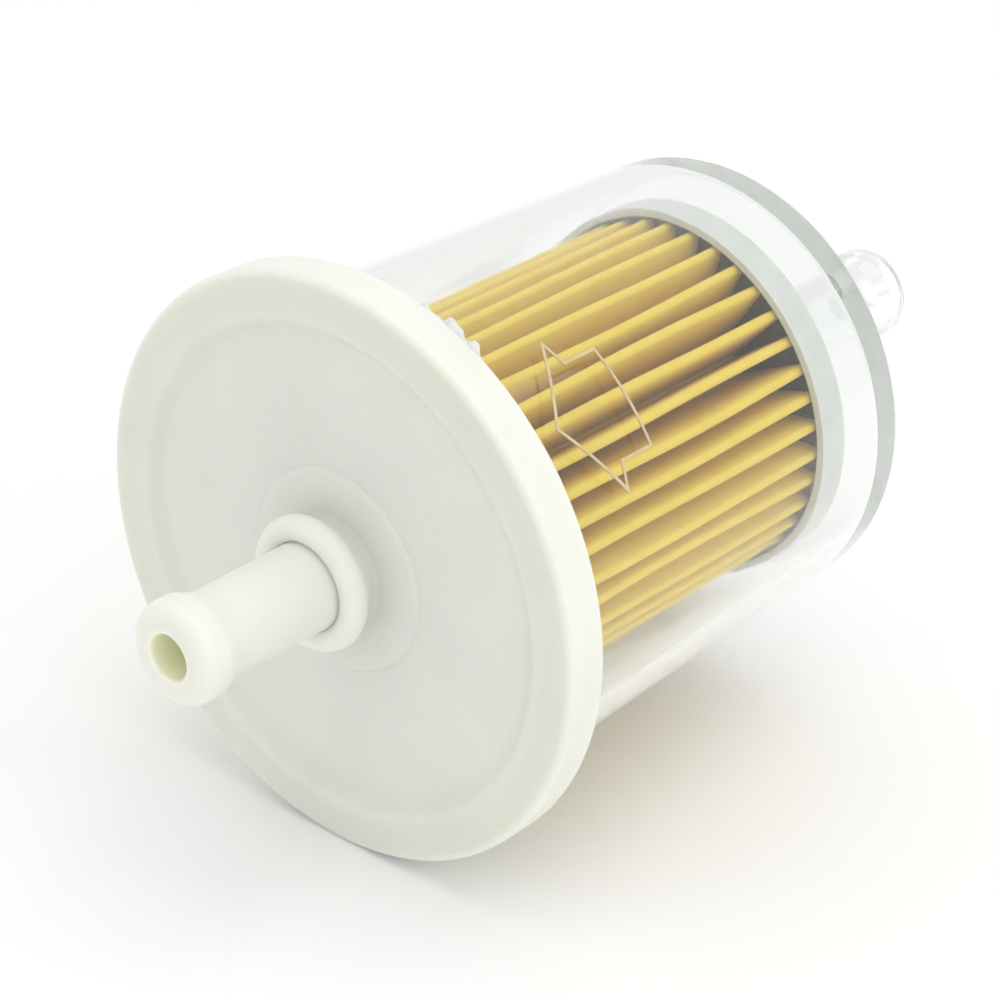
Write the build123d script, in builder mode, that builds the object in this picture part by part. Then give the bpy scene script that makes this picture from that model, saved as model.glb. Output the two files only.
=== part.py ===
from build123d import *
import math
import os

# Disposable in-line fuel filter: a clear bowl welded to a white outlet cap, with a pleated paper
# element inside. Millimetres. The axis of the filter is X: x = 0 is the plane of the cap's rim,
# the outlet nipple points to -X and the clear inlet nipple to +X. +Z is up.

# ---- nipples, for 6.35 mm (1/4 in) fuel hose ----
BARB_R = 4.12  # land at the widest part of the barb
NECK_R = 3.42
BORE_R = 1.83
BARB_LAND = 2.4  # from the tip to the end of the land, with the rounded tip
BARB_TAPER = 1.8
BARB_BLEND = 2.5  # radius between taper and neck
LAND_ROUND = 1.0
TIP_ROUND = 1.2
MOUTH_ROUND = 0.25
OUTLET_TIP_X = -16.4
INLET_TIP_X = 70.0
NECK_ROOT_FLARE = 0.1

# ---- outlet cap ----
FLANGE_R = 23.8  # 47.6 mm, 1 7/8 in across
FLANGE_T = 3.8
RIM_INNER_R = 20.2
DISH_DEPTH = 0.95
DISH_SLOPE = 1.2
PAD_R = 8.1
PAD_RISE = 0.25
COLLAR_X = -1.9  # the collar is a round bead, centred on this circle
COLLAR_R = 4.42
COLLAR_BEAD_R = 1.05
COLLAR_GROOVE_X = -2.4  # floor of the groove between bead and neck
COLLAR_GROOVE_R = 3.68
COLLAR_BACK_ANGLE = 75  # how far past its widest point the bead curves in again
COLLAR_FOOT_R = 4.1
COLLAR_FOOT_ROUND = 0.4
FLANGE_FRONT_ROUND = 0.6
FLANGE_BACK_ROUND = 0.6
WELD_SEAT_X = 1.9  # floor of the groove that the bowl's rim is welded into
WELD_CLEARANCE = 0.06
PLUG_END_X = 7.6  # skirt that centres the bowl
PLUG_CLEARANCE = 0.14
PLUG_WALL = 1.3
SHOULDER_R = 6.2
SPIGOT_R = 4.6
SPIGOT_END_X = 8.5
SPIGOT_CHAMFER = 0.4

# ---- clear inlet bowl ----
BOWL_RIM_R = 20.44  # outside, where it leaves the flange
BOWL_END_R = 19.1
BOWL_END_X = 46.6
BOWL_WALL = 1.6
BOWL_END_WALL = 1.8
BOWL_CORNER_ROUND = 0.6
BOWL_INNER_ROUND = 0.6
INLET_ROOT_R = 5.2  # low boss round the root of the inlet nipple
INLET_ROOT_LENGTH = 0.8
INLET_ROOT_ROUND = 0.3

# ---- filter element ----
PLEATS = 40
PLEAT_OUTER_R = 15.3
PLEAT_INNER_R = 8.26
PAPER_T = 0.32
OUTER_FOLD_R = 0.25  # to the middle of the paper
INNER_FOLD_R = 0.29
CORE_OUTER_R = 7.8
CORE_WALL = 0.8
CORE_WINDOW_ROWS = 5
CORE_WINDOW_COLUMNS = 6
CORE_WINDOW_LENGTH = 4.6
CORE_WINDOW_WIDTH = 3.8
DISC_BACK_X = 4.4  # open end disc rests on the spigot's shoulder
DISC_T = 0.8
DISC_R = 16.3
DISC_HUB_R = 5.8
DISC_HUB_LENGTH = 3.6
DISC_SKIRT_LENGTH = 3.0
CUP_RIM_X = 39.2
CUP_END_X = 42.4
CUP_R = 16.15
CUP_FLOOR = 0.8
CUP_CORNER_ROUND = 0.5
SKIRT_WALL = 0.6
PAD_COUNT = 4  # stand-offs that keep the closed end off the bowl's end wall
PAD_CIRCLE_R = 11.0
STANDOFF_R = 0.9
POTTING_BED = 0.5  # resin under the paper's edge
POTTING_DEPTH = 1.6
POTTING_BORE_R = 6.4
SEAM_INNER_R = 11.0
SEAM_OUTER_R = 13.4
SEAM_INNER_WIDTH = 0.9
SEAM_OUTER_WIDTH = 1.4

# ---- flow arrow, printed on the bowl ----
INK_T = 0.08
ARROW_STROKE = 0.24
ARROW_APEX_X = 8.5
ARROW_WING_X = 12.7
ARROW_SHOULDER_X = 13.2
ARROW_TAIL_X = 16.7
ARROW_HALF_WIDTH = 6.5
SHAFT_HALF_WIDTH = 4.25
ARROW_Y = -0.735  # the arrow faces this way from the axis
ARROW_Z = 0.678

# ---- weld flash, squeezed out at the foot of the bowl ----
FLASH_WIDTH = 0.55

# ---- worked out from the above ----
FACE_X = DISH_DEPTH
PAD_X = FACE_X - PAD_RISE
BOWL_DRAFT = (BOWL_RIM_R - BOWL_END_R) / (BOWL_END_X - FLANGE_T)
DISC_FLOOR_X = DISC_BACK_X + DISC_T
CUP_FLOOR_X = CUP_END_X - CUP_FLOOR
PAPER_START_X = DISC_FLOOR_X + POTTING_BED
PAPER_END_X = CUP_FLOOR_X - POTTING_BED
PAPER_LENGTH = PAPER_END_X - PAPER_START_X
PLEAT_STEP = 360 / PLEATS
BOWL_FLOOR_X = BOWL_END_X - BOWL_END_WALL


def bowl_radius(x):
    """The bowl's outside radius, which shrinks with its draft from the rim to the end wall."""
    return BOWL_RIM_R - BOWL_DRAFT * (x - FLANGE_T)


def bowl_inner_radius(x):
    return bowl_radius(x) - BOWL_WALL


def nearest(sketch, x, r):
    """The sketch's vertex at (x, r)."""
    return sketch.vertices().sort_by_distance(Vector(x, r, 0))[0]


def barb_points(tip_x, root_x, toward):
    """A barbed nipple's outline from its mouth to its root. toward is the way the tip points, -1 or 1."""
    return [
        (tip_x, BORE_R),
        (tip_x, BARB_R),
        (tip_x - toward * BARB_LAND, BARB_R),
        (tip_x - toward * (BARB_LAND + BARB_TAPER), NECK_R),
        (root_x, NECK_R + NECK_ROOT_FLARE),
    ]


def round_barb(section, tip_x, toward):
    """Rounds the barb of a nipple in this section, from its mouth to its neck."""
    land_end_x = tip_x - toward * BARB_LAND
    fillet(nearest(section, tip_x, BORE_R), MOUTH_ROUND)
    fillet(nearest(section, tip_x, BARB_R), TIP_ROUND)
    fillet(nearest(section, land_end_x, BARB_R), LAND_ROUND)
    fillet(nearest(section, land_end_x - toward * BARB_TAPER, NECK_R), BARB_BLEND)


def polar(r, degrees, across=0):
    """The point at radius r on the ray at this angle, moved across the ray."""
    angle = math.radians(degrees)
    along = (math.cos(angle), math.sin(angle))
    return (r * along[0] - across * along[1], r * along[1] + across * along[0])


def folded_strip(side):
    """One face of the folded paper, moved from its middle by side: outwards if side is positive."""
    outer_fold = OUTER_FOLD_R + side
    inner_fold = INNER_FOLD_R - side
    outer_centre = PLEAT_OUTER_R - OUTER_FOLD_R - PAPER_T / 2
    inner_centre = PLEAT_INNER_R + INNER_FOLD_R + PAPER_T / 2
    with BuildLine() as strip:
        for i in range(PLEATS):
            ridge = i * PLEAT_STEP
            valley = ridge + PLEAT_STEP / 2
            next_ridge = ridge + PLEAT_STEP
            ThreePointArc(
                polar(outer_centre, ridge, -outer_fold),
                polar(outer_centre + outer_fold, ridge),
                polar(outer_centre, ridge, outer_fold),
            )
            Line(polar(outer_centre, ridge, outer_fold), polar(inner_centre, valley, -inner_fold))
            ThreePointArc(
                polar(inner_centre, valley, -inner_fold),
                polar(inner_centre - inner_fold, valley),
                polar(inner_centre, valley, inner_fold),
            )
            Line(polar(inner_centre, valley, inner_fold), polar(outer_centre, next_ridge, -outer_fold))
    return strip.edges()


# ---- outlet_cap: flange, dished face, collar, outlet nipple, weld groove, plug skirt and spigot ----
back_turn = math.radians(COLLAR_BACK_ANGLE)
front_rise = math.sqrt(COLLAR_BEAD_R**2 - (COLLAR_R - COLLAR_GROOVE_R) ** 2)
bead_front = (COLLAR_X - front_rise, COLLAR_GROOVE_R)
bead_back = (COLLAR_X + COLLAR_BEAD_R * math.sin(back_turn), COLLAR_R + COLLAR_BEAD_R * math.cos(back_turn))
with BuildPart() as outlet_cap:
    with BuildSketch(Plane.XY) as cap_section:
        with BuildLine():
            ThreePointArc(bead_front, (COLLAR_X, COLLAR_R + COLLAR_BEAD_R), bead_back)
            Polyline(
                bead_back,
                (PAD_X, COLLAR_FOOT_R),
                (PAD_X, PAD_R),
                (FACE_X, PAD_R + PAD_RISE),
                (FACE_X, RIM_INNER_R - DISH_SLOPE),
                (0, RIM_INNER_R),
                (0, FLANGE_R),
                (FLANGE_T, FLANGE_R),
                (FLANGE_T, bowl_radius(FLANGE_T) + WELD_CLEARANCE),
                (WELD_SEAT_X, bowl_radius(WELD_SEAT_X) + WELD_CLEARANCE),
                (WELD_SEAT_X, bowl_inner_radius(WELD_SEAT_X) - PLUG_CLEARANCE),
                (PLUG_END_X, bowl_inner_radius(PLUG_END_X) - PLUG_CLEARANCE),
                (PLUG_END_X, bowl_inner_radius(PLUG_END_X) - PLUG_CLEARANCE - PLUG_WALL),
                (FLANGE_T, bowl_inner_radius(FLANGE_T) - PLUG_CLEARANCE - PLUG_WALL),
                (FLANGE_T, SHOULDER_R),
                (DISC_BACK_X, SHOULDER_R),
                (DISC_BACK_X, SPIGOT_R),
                (SPIGOT_END_X, SPIGOT_R),
                (SPIGOT_END_X, BORE_R),
                *barb_points(OUTLET_TIP_X, COLLAR_GROOVE_X, -1),
                bead_front,
            )
        make_face()
        round_barb(cap_section, OUTLET_TIP_X, -1)
        fillet(nearest(cap_section, PAD_X, COLLAR_FOOT_R), COLLAR_FOOT_ROUND)
        fillet(nearest(cap_section, FACE_X, RIM_INNER_R - DISH_SLOPE), DISH_SLOPE)
        fillet(nearest(cap_section, 0, RIM_INNER_R), DISH_SLOPE)
        fillet(nearest(cap_section, 0, FLANGE_R), FLANGE_FRONT_ROUND)
        fillet(nearest(cap_section, FLANGE_T, FLANGE_R), FLANGE_BACK_ROUND)
        chamfer(nearest(cap_section, SPIGOT_END_X, SPIGOT_R), SPIGOT_CHAMFER)
    revolve(axis=Axis.X)

# ---- inlet_bowl: clear drafted bowl with its rim in the cap's groove and the inlet nipple ----
with BuildPart() as inlet_bowl:
    with BuildSketch(Plane.XY) as bowl_section:
        with BuildLine():
            Polyline(
                *barb_points(INLET_TIP_X, BOWL_END_X + INLET_ROOT_LENGTH, 1),
                (BOWL_END_X + INLET_ROOT_LENGTH, INLET_ROOT_R),
                (BOWL_END_X, INLET_ROOT_R),
                (BOWL_END_X, BOWL_END_R),
                (WELD_SEAT_X, bowl_radius(WELD_SEAT_X)),
                (WELD_SEAT_X, bowl_inner_radius(WELD_SEAT_X)),
                (BOWL_FLOOR_X, bowl_inner_radius(BOWL_FLOOR_X)),
                (BOWL_FLOOR_X, BORE_R),
                close=True,
            )
        make_face()
        round_barb(bowl_section, INLET_TIP_X, 1)
        fillet(nearest(bowl_section, BOWL_END_X + INLET_ROOT_LENGTH, INLET_ROOT_R), INLET_ROOT_ROUND)
        fillet(nearest(bowl_section, BOWL_END_X, INLET_ROOT_R), INLET_ROOT_ROUND)
        fillet(nearest(bowl_section, BOWL_END_X, BOWL_END_R), BOWL_CORNER_ROUND)
        fillet(nearest(bowl_section, BOWL_FLOOR_X, bowl_inner_radius(BOWL_FLOOR_X)), BOWL_INNER_ROUND)
    revolve(axis=Axis.X)

# ---- weld_flash: bead of melted plastic in the corner between flange and bowl ----
with BuildPart() as weld_flash:
    with BuildSketch(Plane.XY):
        with BuildLine():
            Polyline(
                (FLANGE_T, bowl_radius(FLANGE_T)),
                (FLANGE_T, bowl_radius(FLANGE_T) + FLASH_WIDTH),
                (FLANGE_T + FLASH_WIDTH, bowl_radius(FLANGE_T + FLASH_WIDTH)),
                close=True,
            )
        make_face()
    revolve(axis=Axis.X)

# ---- open_end_disc: end disc of the element, with a hub pressed over the cap's spigot ----
with BuildPart() as open_end_disc:
    with BuildSketch(Plane.XY):
        with BuildLine():
            Polyline(
                (DISC_BACK_X, SPIGOT_R),
                (DISC_BACK_X, DISC_R),
                (DISC_BACK_X + DISC_SKIRT_LENGTH, DISC_R),
                (DISC_BACK_X + DISC_SKIRT_LENGTH, DISC_R - SKIRT_WALL),
                (DISC_FLOOR_X, DISC_R - SKIRT_WALL),
                (DISC_FLOOR_X, DISC_HUB_R),
                (DISC_BACK_X + DISC_HUB_LENGTH, DISC_HUB_R),
                (DISC_BACK_X + DISC_HUB_LENGTH, SPIGOT_R),
                close=True,
            )
        make_face()
    revolve(axis=Axis.X)

# ---- closed_end_cup: shuts the far end of the element, with stand-offs towards the bowl's end wall ----
with BuildPart() as closed_end_cup:
    with BuildSketch(Plane.XY) as cup_section:
        with BuildLine():
            Polyline(
                (CUP_FLOOR_X, 0),
                (CUP_FLOOR_X, CUP_R - SKIRT_WALL),
                (CUP_RIM_X, CUP_R - SKIRT_WALL),
                (CUP_RIM_X, CUP_R),
                (CUP_END_X, CUP_R),
                (CUP_END_X, 0),
                close=True,
            )
        make_face()
        fillet(nearest(cup_section, CUP_END_X, CUP_R), CUP_CORNER_ROUND)
    revolve(axis=Axis.X)
    with BuildSketch(Plane.YZ.offset(CUP_END_X)):
        with PolarLocations(PAD_CIRCLE_R, PAD_COUNT, start_angle=45):
            Circle(STANDOFF_R)
    extrude(amount=BOWL_FLOOR_X - CUP_END_X)

# ---- core_tube: windowed tube that holds the pleats off the outlet ----
with BuildPart() as core_tube:
    with BuildSketch(Plane.YZ.offset(PAPER_START_X)):
        Circle(CORE_OUTER_R)
        Circle(CORE_OUTER_R - CORE_WALL, mode=Mode.SUBTRACT)
    extrude(amount=PAPER_LENGTH)
    window_step = PAPER_LENGTH / (CORE_WINDOW_ROWS + 1)
    for row in range(CORE_WINDOW_ROWS):
        window_x = PAPER_START_X + (row + 1) * window_step
        with Locations(Plane.YZ.offset(window_x)):
            with PolarLocations(CORE_OUTER_R, CORE_WINDOW_COLUMNS):
                Box(3 * CORE_WALL, CORE_WINDOW_WIDTH, CORE_WINDOW_LENGTH, mode=Mode.SUBTRACT)

# ---- pleated_paper: one strip of filter paper folded into a closed star ----
with BuildPart() as pleated_paper:
    with BuildSketch(Plane.YZ.offset(PAPER_START_X)):
        make_face(folded_strip(PAPER_T / 2))
        make_face(folded_strip(-PAPER_T / 2), mode=Mode.SUBTRACT)
    extrude(amount=PAPER_LENGTH)

# ---- open_end_potting: resin ring that bonds the paper and the core to the open end disc ----
with BuildPart() as open_end_potting:
    with BuildSketch(Plane.YZ.offset(DISC_FLOOR_X)):
        Circle(DISC_R - SKIRT_WALL)
        Circle(POTTING_BORE_R, mode=Mode.SUBTRACT)
    extrude(amount=POTTING_DEPTH)
    add(pleated_paper.part, mode=Mode.SUBTRACT)
    add(core_tube.part, mode=Mode.SUBTRACT)

# ---- closed_end_potting: the same in the closed end cup ----
with BuildPart() as closed_end_potting:
    with BuildSketch(Plane.YZ.offset(CUP_FLOOR_X - POTTING_DEPTH)):
        Circle(CUP_R - SKIRT_WALL)
        Circle(POTTING_BORE_R, mode=Mode.SUBTRACT)
    extrude(amount=POTTING_DEPTH)
    add(pleated_paper.part, mode=Mode.SUBTRACT)
    add(core_tube.part, mode=Mode.SUBTRACT)

# ---- side_seam: glue between the two end leaves of the paper strip, in the lowest valley ----
seam_angle = 270 + PLEAT_STEP / 2
seam_x = DISC_FLOOR_X + POTTING_DEPTH
with BuildPart() as side_seam:
    with BuildSketch(Plane.YZ.offset(seam_x)):
        with BuildLine():
            Polyline(
                polar(SEAM_INNER_R, seam_angle, -SEAM_INNER_WIDTH / 2),
                polar(SEAM_OUTER_R, seam_angle, -SEAM_OUTER_WIDTH / 2),
                polar(SEAM_OUTER_R, seam_angle, SEAM_OUTER_WIDTH / 2),
                polar(SEAM_INNER_R, seam_angle, SEAM_INNER_WIDTH / 2),
                close=True,
            )
        make_face()
    extrude(amount=CUP_FLOOR_X - POTTING_DEPTH - seam_x)
    add(pleated_paper.part, mode=Mode.SUBTRACT)

# ---- flow_arrow: thin outline arrow printed on the bowl, pointing to the outlet cap ----
with BuildPart() as flow_arrow:
    with BuildSketch(Plane.XY):
        with BuildLine():
            Polyline(
                (ARROW_APEX_X, bowl_radius(ARROW_APEX_X)),
                (ARROW_APEX_X, bowl_radius(ARROW_APEX_X) + INK_T),
                (ARROW_TAIL_X, bowl_radius(ARROW_TAIL_X) + INK_T),
                (ARROW_TAIL_X, bowl_radius(ARROW_TAIL_X)),
                close=True,
            )
        make_face()
    revolve(axis=Axis.X)
    with BuildSketch(Plane(origin=(0, 0, 0), x_dir=(1, 0, 0), z_dir=(0, ARROW_Y, ARROW_Z))):
        with BuildLine():
            Polyline(
                (ARROW_APEX_X, 0),
                (ARROW_WING_X, ARROW_HALF_WIDTH),
                (ARROW_SHOULDER_X, SHAFT_HALF_WIDTH),
                (ARROW_TAIL_X, SHAFT_HALF_WIDTH),
                (ARROW_TAIL_X, -SHAFT_HALF_WIDTH),
                (ARROW_SHOULDER_X, -SHAFT_HALF_WIDTH),
                (ARROW_WING_X, -ARROW_HALF_WIDTH),
                close=True,
            )
        make_face()
        offset(amount=-ARROW_STROKE, kind=Kind.INTERSECTION, mode=Mode.SUBTRACT)
    extrude(amount=FLANGE_R, mode=Mode.INTERSECT)

os.makedirs("parts", exist_ok=True)
nodes = {
    "outlet_cap": outlet_cap,
    "inlet_bowl": inlet_bowl,
    "weld_flash": weld_flash,
    "open_end_disc": open_end_disc,
    "closed_end_cup": closed_end_cup,
    "core_tube": core_tube,
    "pleated_paper": pleated_paper,
    "open_end_potting": open_end_potting,
    "closed_end_potting": closed_end_potting,
    "side_seam": side_seam,
    "flow_arrow": flow_arrow,
}
for name, node in nodes.items():
    node.part.label = name
    export_step(node.part, f"parts/{name}.step")
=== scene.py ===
import math
import random

import bmesh
import bpy
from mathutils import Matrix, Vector


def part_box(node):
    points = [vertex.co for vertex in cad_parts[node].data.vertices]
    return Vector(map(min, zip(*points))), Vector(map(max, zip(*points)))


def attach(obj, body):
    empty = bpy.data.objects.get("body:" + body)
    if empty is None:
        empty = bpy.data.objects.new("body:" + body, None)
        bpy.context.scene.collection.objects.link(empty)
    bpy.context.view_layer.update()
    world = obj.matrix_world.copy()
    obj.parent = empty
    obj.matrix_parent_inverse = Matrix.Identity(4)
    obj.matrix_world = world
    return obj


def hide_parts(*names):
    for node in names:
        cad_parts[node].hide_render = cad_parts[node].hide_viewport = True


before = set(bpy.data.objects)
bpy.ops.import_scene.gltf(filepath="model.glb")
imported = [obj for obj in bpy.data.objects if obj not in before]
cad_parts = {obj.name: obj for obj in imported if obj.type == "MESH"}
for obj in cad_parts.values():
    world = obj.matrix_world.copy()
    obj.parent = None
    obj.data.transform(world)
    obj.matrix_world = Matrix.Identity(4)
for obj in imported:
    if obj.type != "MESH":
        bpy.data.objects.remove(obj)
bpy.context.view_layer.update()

MM = 0.001
scene = bpy.context.scene

# ---- sizes read from the frame ----
PAPER_LOW, PAPER_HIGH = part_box("pleated_paper")
CAP_LOW, CAP_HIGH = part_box("outlet_cap")
FLASH_LOW, FLASH_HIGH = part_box("weld_flash")
CORE_OUTER_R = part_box("core_tube")[1].z
BOWL_FOOT_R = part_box("inlet_bowl")[1].z
FLANGE_R = CAP_HIGH.z
FLOOR_Z = CAP_LOW.z

# ---- the folded paper, as its CAD node has it ----
PLEATS = 40
PAPER_T = 0.32 * MM
OUTER_FOLD_R = 0.25 * MM
INNER_FOLD_R = 0.29 * MM
PLEAT_OUTER_R = PAPER_HIGH.z
CORE_GAP = 0.46 * MM
PLEAT_INNER_R = CORE_OUTER_R + CORE_GAP

# ---- how uneven the folds are made ----
PLEAT_LEAN = 0.9  # degrees that a ridge leans to one side
PLEAT_WAVE = 0.35  # degrees that it waves along its length
PLEAT_SETBACK = 0.12 * MM

# ---- the weld's flash ----
FLASH_STEPS = 360
FLASH_THINNEST = 0.45  # as parts of its width in CAD
FLASH_WIDEST = 1.5
FLASH_ROOT = 0.1 * MM  # how far it is sunk into the flange
FLASH_BED = 0.2 * MM  # and into the bowl's foot
SMEAR_START = 103  # where it has crept over the flange's edge, in degrees from +Y towards +Z
SMEAR_END = 122
TOOTH_LOW = -0.25 * MM
TOOTH_HIGH = 0.75 * MM
SMEAR_LIMIT = 0.999 * FLANGE_R  # how far it may reach up or sideways, to stay inside the CAD box

# ---- camera, at the photograph's viewing angle ----
CAMERA_AZIMUTH = -48.55
CAMERA_ELEVATION = 27.915
CAMERA_DISTANCE = 224.4 * MM
CAMERA_AIM = Vector((10.4, -7.9, 4.9)) * MM
CAMERA_LENS = 108


# ---------------------------------------------------------------- nodes of a material
class Tree:
    """A short way to write a material's nodes."""

    def __init__(self, name):
        self.material = bpy.data.materials.new(name)
        self.material.use_nodes = True
        self.nodes = self.material.node_tree.nodes
        self.links = self.material.node_tree.links
        self.nodes.clear()
        self.output = self.nodes.new("ShaderNodeOutputMaterial")

    def node(self, kind, settings=None, **inputs):
        made = self.nodes.new("ShaderNode" + kind)
        for key, value in (settings or {}).items():
            setattr(made, key, value)
        for key, value in inputs.items():
            self.set(made, key.replace("_", " "), value)
        return made

    def set(self, node, key, value):
        socket = node.inputs[int(key)] if key.isdigit() else node.inputs[key]
        if isinstance(value, bpy.types.NodeSocket):
            self.links.new(value, socket)
        else:
            socket.default_value = value

    def position(self):
        return self.node("TexCoord").outputs["Object"]

    def noise(self, scale, detail=3.0, roughness=0.5, vector=None):
        made = self.node("TexNoise", Scale=scale, Detail=detail, Roughness=roughness)
        self.set(made, "Vector", vector if vector else self.position())
        return made.outputs["Fac"]

    def stretched(self, x, y, z):
        made = self.node("Mapping", Vector=self.position())
        made.inputs["Scale"].default_value = (x, y, z)
        return made.outputs[0]

    def mix(self, factor, a, b):
        made = self.node("Mix", {"data_type": "RGBA"})
        self.set(made, "0", factor)
        for key, value in (("6", a), ("7", b)):
            self.set(made, key, (*value, 1.0) if isinstance(value, tuple) else value)
        return made.outputs[2]

    def between(self, value, low, high, new_low=0.0, new_high=1.0):
        made = self.node("MapRange", Value=value)
        for key, number in (("1", low), ("2", high), ("3", new_low), ("4", new_high)):
            self.set(made, key, number)
        return made.outputs[0]

    def radius(self):
        """Distance from the filter's axis, in metres."""
        split = self.node("SeparateXYZ", Vector=self.position())
        across = self.node("CombineXYZ", Y=split.outputs["Y"], Z=split.outputs["Z"])
        return self.node("VectorMath", {"operation": "LENGTH"}, **{"0": across.outputs[0]}).outputs["Value"]

    def along(self):
        """Place along the filter's axis, in metres."""
        return self.node("SeparateXYZ", Vector=self.position()).outputs["X"]

    def height(self):
        """Height above the filter's axis, in metres."""
        return self.node("SeparateXYZ", Vector=self.position()).outputs["Z"]

    def bump(self, height, distance, strength=1.0, normal=None):
        made = self.node("Bump", Height=height, Distance=distance, Strength=strength)
        if normal:
            self.set(made, "Normal", normal)
        return made.outputs[0]

    def principled(self, **inputs):
        made = self.node("BsdfPrincipled", **inputs)
        self.links.new(made.outputs[0], self.output.inputs["Surface"])
        return made


def white_plastic():
    """Moulded off-white plastic, its tones painted with light and shade: painted shade in the middle of the
    face, a darker, yellower outer ring on the face, a painted highlight on the flange's rim, the nipple
    painted lighter and a painted glow in the bore; faint mottling and a fine satin skin.
    """
    t = Tree("white_plastic")
    mottle = t.between(t.noise(140, 4), 0.3, 0.7)
    # painted shade: the middle of the face is darker, standing in for the shade round the nipple and its
    # collar
    middle = t.mix(mottle, (0.72, 0.74, 0.68), (0.75, 0.77, 0.71))
    face = t.mix(mottle, (0.74, 0.76, 0.69), (0.77, 0.79, 0.72))
    rim = t.mix(mottle, (0.69, 0.705, 0.62), (0.72, 0.735, 0.65))
    # painted highlight: the flange's outer rim is lighter than the face, as if lit from above and the side
    edge = t.mix(mottle, (0.80, 0.81, 0.74), (0.83, 0.84, 0.77))
    # painted light: the nipple is lighter than the face, as if lit from above
    painted_light_nipple = t.mix(mottle, (0.80, 0.81, 0.745), (0.83, 0.84, 0.775))
    # from the middle of the face outwards (painted shade in the middle, the darker, yellower outer ring,
    # the flange's rim with a painted highlight), then the nipple standing in front of the face, painted
    # lighter, then the bore with a painted glow
    colour = t.mix(t.between(t.radius(), 0.3 * FLANGE_R, 0.75 * FLANGE_R), middle, face)
    colour = t.mix(t.between(t.radius(), 0.78 * FLANGE_R, 0.9 * FLANGE_R), colour, rim)
    colour = t.mix(t.between(t.radius(), 0.97 * FLANGE_R, 0.995 * FLANGE_R), colour, edge)
    colour = t.mix(t.between(t.along(), -1.5 * MM, 0.5 * MM), painted_light_nipple, colour)
    # painted glow: inside the bore the colour is bright yellow, standing in for light shining through the
    # thin plastic
    colour = t.mix(t.between(t.radius(), 1.75 * MM, 2.3 * MM), (0.99, 0.98, 0.76), colour)
    skin = t.bump(t.noise(2600, 4, 0.6), 0.03 * MM, 0.35)
    flow = t.bump(t.noise(160, 3), 0.12 * MM, 0.35, skin)
    roughness = t.between(t.noise(320, 4), 0.3, 0.7, 0.34, 0.5)
    p = t.principled(**{"Base Color": colour, "Roughness": roughness, "Normal": flow})
    p.inputs["IOR"].default_value = 1.48
    p.inputs["Subsurface Weight"].default_value = 0.5
    p.inputs["Subsurface Radius"].default_value = (2.2 * MM, 2.0 * MM, 1.1 * MM)
    p.inputs["Subsurface Scale"].default_value = 1.0
    return t.material


def clear_plastic():
    """Clear moulded plastic: faint tint, flow ripples, scuffs, and less clear and whiter towards its
    underside.
    """
    t = Tree("clear_plastic")
    ripple = t.bump(t.noise(90, 2), 0.1 * MM, 0.25)
    scuff = t.noise(900, 5, 0.65, t.stretched(0.3, 1, 1))
    roughness = t.between(scuff, 0.45, 0.75, 0.02, 0.12)
    # less clear towards the bottom: the transmission falls to 0.55 low on the bowl, so its underside is
    # whiter
    clear = t.between(t.height(), -0.8 * FLANGE_R, -0.2 * FLANGE_R, 0.55, 1.0)
    p = t.principled(**{"Roughness": roughness, "Normal": ripple, "Transmission Weight": clear})
    p.inputs["Base Color"].default_value = (0.985, 0.992, 0.985, 1.0)
    p.inputs["IOR"].default_value = 1.5
    through = t.node("BsdfTransparent")
    through.inputs["Color"].default_value = (0.98, 0.985, 0.98, 1.0)
    path = t.node("LightPath")
    surface = p.outputs[0]
    # light passes straight through for these rays, so the walls don't darken what is behind them
    for ray in ("Is Shadow Ray", "Is Diffuse Ray", "Is Reflection Ray"):
        mix = t.node("MixShader", **{"0": path.outputs[ray], "1": surface, "2": through.outputs[0]})
        surface = mix.outputs[0]
    t.links.new(surface, t.output.inputs["Surface"])
    absorb = t.node("VolumeAbsorption")
    absorb.inputs["Color"].default_value = (0.82, 0.86, 0.84, 1.0)
    absorb.inputs["Density"].default_value = 15.0
    t.links.new(absorb.outputs[0], t.output.inputs["Volume"])
    return t.material


def filter_paper():
    """Resin-treated yellow-ochre paper: fibres, mottling, and painted bounce light that makes the valleys
    lighter and more yellow than the ridges.
    """
    t = Tree("filter_paper")
    fibre = t.noise(5200, 6, 0.7, t.stretched(0.35, 1, 1))
    mottle = t.noise(420, 4, 0.6)
    # painted bounce light: by radius the valleys between the folds are lighter and more yellow than the
    # ridges, standing in for light bounced between the folds
    fold = t.between(t.radius(), 0.80 * PLEAT_OUTER_R, 0.99 * PLEAT_OUTER_R)
    painted_bounce_valley = t.mix(t.between(mottle, 0.3, 0.7), (0.85, 0.61, 0.08), (0.91, 0.67, 0.11))
    high = t.mix(t.between(mottle, 0.3, 0.7), (0.78, 0.57, 0.06), (0.84, 0.63, 0.09))
    colour = t.mix(fold, painted_bounce_valley, high)
    colour = t.mix(t.between(fibre, 0.35, 0.75, 0.0, 0.25), colour, (0.88, 0.70, 0.20))
    grain = t.bump(fibre, 0.08 * MM, 0.5)
    p = t.principled(**{"Base Color": colour, "Normal": grain})
    p.inputs["Roughness"].default_value = 0.8
    p.inputs["Specular IOR Level"].default_value = 0.25
    p.inputs["Sheen Weight"].default_value = 0.1
    return t.material


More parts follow.
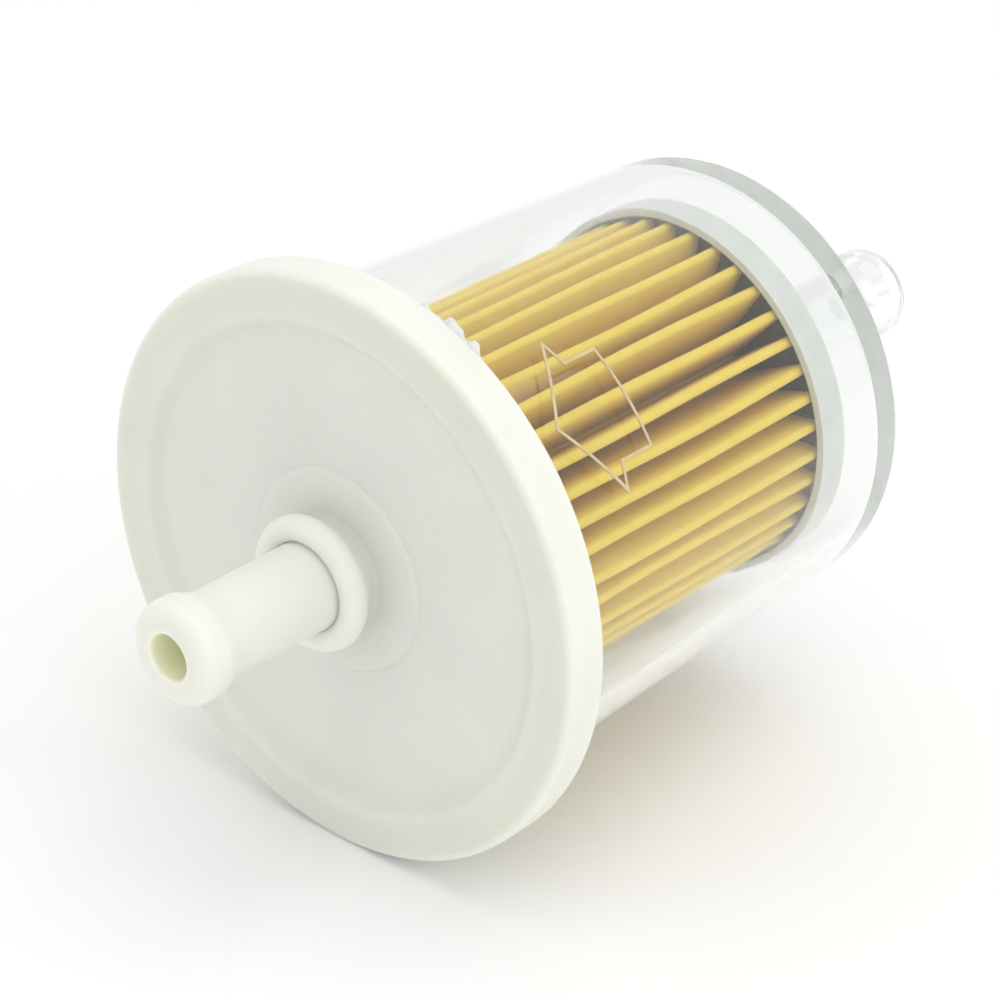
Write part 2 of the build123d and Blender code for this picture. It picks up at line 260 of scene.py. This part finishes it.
def plain_moulding(name, low, high, roughness, see_through=0.0):
    """A small moulded, cast or printed piece: two close tones in clouds, uneven gloss and a fine skin."""
    t = Tree(name)
    colour = t.mix(t.between(t.noise(500, 4), 0.3, 0.7), low, high)
    gloss = t.between(t.noise(700, 3), 0.3, 0.7, roughness - 0.06, roughness + 0.06)
    skin = t.bump(t.noise(1800, 4, 0.6), 0.04 * MM, 0.4)
    p = t.principled(**{"Base Color": colour, "Roughness": gloss, "Normal": skin})
    p.inputs["Subsurface Weight"].default_value = see_through
    p.inputs["Subsurface Radius"].default_value = (0.8 * MM, 0.8 * MM, 0.7 * MM)
    p.inputs["Subsurface Scale"].default_value = 1.0
    return t.material


# ---------------------------------------------------------------- pieces
def mesh_piece(name, points, faces, material):
    mesh = bpy.data.meshes.new(name)
    mesh.from_pydata([tuple(p) for p in points], [], faces)
    mesh.update()
    mesh.polygons.foreach_set("use_smooth", [True] * len(mesh.polygons))
    piece = bpy.data.objects.new(name, mesh)
    scene.collection.objects.link(piece)
    piece.data.materials.append(material)
    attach(piece, "root")
    return piece


def arc(centre_r, bend_r, inward, steps):
    """Points (r, across) of one fold, a half circle from -across to +across."""
    way = -1 if inward else 1
    turn = [math.pi * (i / steps - 0.5) for i in range(steps + 1)]
    return [(centre_r + way * bend_r * math.cos(a), bend_r * math.sin(a)) for a in turn]


def pleat_section(side, sway, reach, fold_steps=8, leaf_steps=4):
    """One face of the folded strip as points (y, z).

    side is how far it is from the paper's middle, sway turns each ridge in radians, reach moves it out.
    """
    step = 2 * math.pi / PLEATS
    outer = arc(PLEAT_OUTER_R - OUTER_FOLD_R - PAPER_T / 2, OUTER_FOLD_R + side, False, fold_steps)
    inner = arc(PLEAT_INNER_R + INNER_FOLD_R + PAPER_T / 2, INNER_FOLD_R - side, True, fold_steps)
    corners = []
    for i in range(PLEATS):
        for shape, angle, out in ((outer, i * step + sway[i], reach[i]), (inner, (i + 0.5) * step, 0.0)):
            ray = (math.cos(angle), math.sin(angle))
            placed = [((r + out) * ray[0] - a * ray[1], (r + out) * ray[1] + a * ray[0]) for r, a in shape]
            corners.append(placed)
    section = []
    for i, fold in enumerate(corners):
        section += fold
        start, end = fold[-1], corners[(i + 1) % len(corners)][0]
        for j in range(1, leaf_steps):
            k = j / leaf_steps
            section.append((start[0] * (1 - k) + end[0] * k, start[1] * (1 - k) + end[1] * k))
    return section


def build_pleats():
    """The folded paper, straight at its potted ends and slightly uneven between them."""
    rng = random.Random(7)
    lean = [rng.uniform(-1, 1) for _ in range(PLEATS)]
    wave = [rng.uniform(0, 2 * math.pi) for _ in range(PLEATS)]
    height = [rng.uniform(-1, 0) for _ in range(PLEATS)]
    stations = 25
    length = PAPER_HIGH.x - PAPER_LOW.x
    points = []
    count = 0
    for k in range(stations):
        u = k / (stations - 1)
        free = math.sin(math.pi * u) ** 0.6
        sway = [
            math.radians(free * (PLEAT_LEAN * a + PLEAT_WAVE * math.sin(6 * u + w)))
            for a, w in zip(lean, wave)
        ]
        reach = [free * PLEAT_SETBACK * h for h in height]
        for side in (PAPER_T / 2, -PAPER_T / 2):
            section = pleat_section(side, sway, reach)
            count = len(section)
            points += [(PAPER_LOW.x + u * length, y, z) for y, z in section]
    faces = []
    ring = 2 * count
    for k in range(stations - 1):
        for j in range(count):
            a, b = k * ring + j, k * ring + (j + 1) % count
            faces.append((a, b, b + ring, a + ring))
            c, d = a + count, b + count
            faces.append((d, c, c + ring, d + ring))
    last = (stations - 1) * ring
    for j in range(count):
        n = (j + 1) % count
        faces.append((j, j + count, n + count, n))
        faces.append((last + n, last + n + count, last + j + count, last + j))
    piece = mesh_piece("pleats", points, faces, filter_paper())
    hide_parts("pleated_paper")
    return piece


def build_weld_flash():
    """The lumpy bead squeezed out round the bowl's foot, smeared over the flange's edge at one place."""
    rng = random.Random(11)
    profile = 8
    lumps = [(rng.uniform(0.05, 0.16), rng.randint(5, 40), rng.uniform(0, 2 * math.pi)) for _ in range(9)]
    foot_r = BOWL_FOOT_R - 0.04 * MM
    size = FLASH_HIGH.x - FLASH_LOW.x
    teeth = [rng.uniform(TOOTH_LOW, TOOTH_HIGH) for _ in range(FLASH_STEPS // 2)]
    points = []
    for i in range(FLASH_STEPS):
        angle = 2 * math.pi * i / FLASH_STEPS
        grow = 1 + sum(a * math.sin(n * angle + p) for a, n, p in lumps)
        reach = size * max(FLASH_THINNEST, min(FLASH_WIDEST, grow))
        smeared = SMEAR_START < math.degrees(angle) < SMEAR_END
        spread = FLANGE_R - foot_r + teeth[i // 2] if smeared else reach
        widest = SMEAR_LIMIT / max(abs(math.cos(angle)), abs(math.sin(angle)))
        ring = [(FLASH_LOW.x - FLASH_ROOT, foot_r - FLASH_BED - FLASH_ROOT)]
        for j in range(profile):
            turn = math.pi / 2 * j / (profile - 1)
            across = min(foot_r - FLASH_BED + spread * math.cos(turn), widest)
            ring.append((FLASH_LOW.x + reach * math.sin(turn), across))
        points += [(x, r * math.cos(angle), r * math.sin(angle)) for x, r in ring]
    ring = profile + 1
    faces = []
    for i in range(FLASH_STEPS):
        here, after = i * ring, ((i + 1) % FLASH_STEPS) * ring
        for j in range(ring):
            k = (j + 1) % ring
            faces.append((here + j, here + k, after + k, after + j))
    milky = plain_moulding("weld_plastic", (0.91, 0.92, 0.88), (0.96, 0.96, 0.93), 0.3, see_through=0.3)
    piece = mesh_piece("weld_bead", points, faces, milky)
    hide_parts("weld_flash")
    return piece


def finish_cad_nodes():
    cup = plain_moulding("cup_plastic", (0.60, 0.62, 0.59), (0.66, 0.68, 0.65), 0.38, see_through=0.2)
    white = plain_moulding("white_resin", (0.80, 0.79, 0.70), (0.87, 0.86, 0.78), 0.35, see_through=0.2)
    dark = plain_moulding("dark_resin", (0.045, 0.042, 0.04), (0.09, 0.085, 0.08), 0.3)
    glue = plain_moulding("seam_glue", (0.72, 0.62, 0.36), (0.82, 0.73, 0.48), 0.3, see_through=0.3)
    materials = {
        "outlet_cap": white_plastic(),
        "inlet_bowl": clear_plastic(),
        "open_end_disc": plain_moulding("disc_plastic", (0.82, 0.83, 0.78), (0.88, 0.89, 0.85), 0.42),
        "closed_end_cup": cup,
        "core_tube": plain_moulding("core_plastic", (0.78, 0.76, 0.66), (0.85, 0.83, 0.74), 0.45),
        "open_end_potting": white,
        "closed_end_potting": dark,
        "side_seam": glue,
        "flow_arrow": plain_moulding("print_ink", (0.56, 0.45, 0.26), (0.66, 0.55, 0.35), 0.6),
    }
    for name, material in materials.items():
        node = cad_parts[name]
        node.material_slots[0].link = "OBJECT"
        node.material_slots[0].material = material


# ---------------------------------------------------------------- studio
def build_floor():
    t = Tree("floor")
    tone = t.mix(t.between(t.noise(3, 2), 0.3, 0.7), (0.93, 0.93, 0.93), (0.95, 0.95, 0.95))
    t.principled(**{"Base Color": tone, "Roughness": 0.9})
    mesh = bpy.data.meshes.new("floor")
    work = bmesh.new()
    bmesh.ops.create_grid(work, x_segments=8, y_segments=8, size=3.0)
    work.to_mesh(mesh)
    work.free()
    floor = bpy.data.objects.new("floor", mesh)
    floor.location.z = FLOOR_Z
    scene.collection.objects.link(floor)
    floor.data.materials.append(t.material)


def area_light(name, place, aim, size, power):
    data = bpy.data.lights.new(name, "AREA")
    data.shape = "SQUARE"
    data.size = size
    data.energy = power
    light = bpy.data.objects.new(name, data)
    light.location = place
    light.rotation_mode = "QUATERNION"
    light.rotation_quaternion = (Vector(aim) - Vector(place)).to_track_quat("-Z", "Y")
    scene.collection.objects.link(light)


def build_lights():
    world = bpy.data.worlds.new("studio")
    world.use_nodes = True
    background = world.node_tree.nodes["Background"]
    background.inputs["Color"].default_value = (1.0, 1.0, 1.0, 1.0)
    background.inputs["Strength"].default_value = 0.9
    scene.world = world
    area_light("overhead", (0.05, -0.15, 0.6), (0, 0, 0), 0.5, 1.0)
    area_light("right_fill", (0.1, -0.7, 0.25), (0, 0, 0), 0.5, 0.4)


def build_camera():
    a, e = math.radians(CAMERA_AZIMUTH), math.radians(CAMERA_ELEVATION)
    back = Vector((math.sin(a) * math.cos(e), -math.cos(a) * math.cos(e), math.sin(e)))
    data = bpy.data.cameras.new("camera")
    data.lens = CAMERA_LENS
    data.sensor_width = 36
    data.clip_start = 0.01
    camera = bpy.data.objects.new("camera", data)
    camera.location = CAMERA_AIM + back * CAMERA_DISTANCE
    camera.rotation_mode = "QUATERNION"
    camera.rotation_quaternion = (-back).to_track_quat("-Z", "Y")
    scene.collection.objects.link(camera)
    scene.camera = camera


scene.view_settings.view_transform = "Standard"
finish_cad_nodes()
build_pleats()
build_weld_flash()
build_floor()
build_lights()
build_camera()
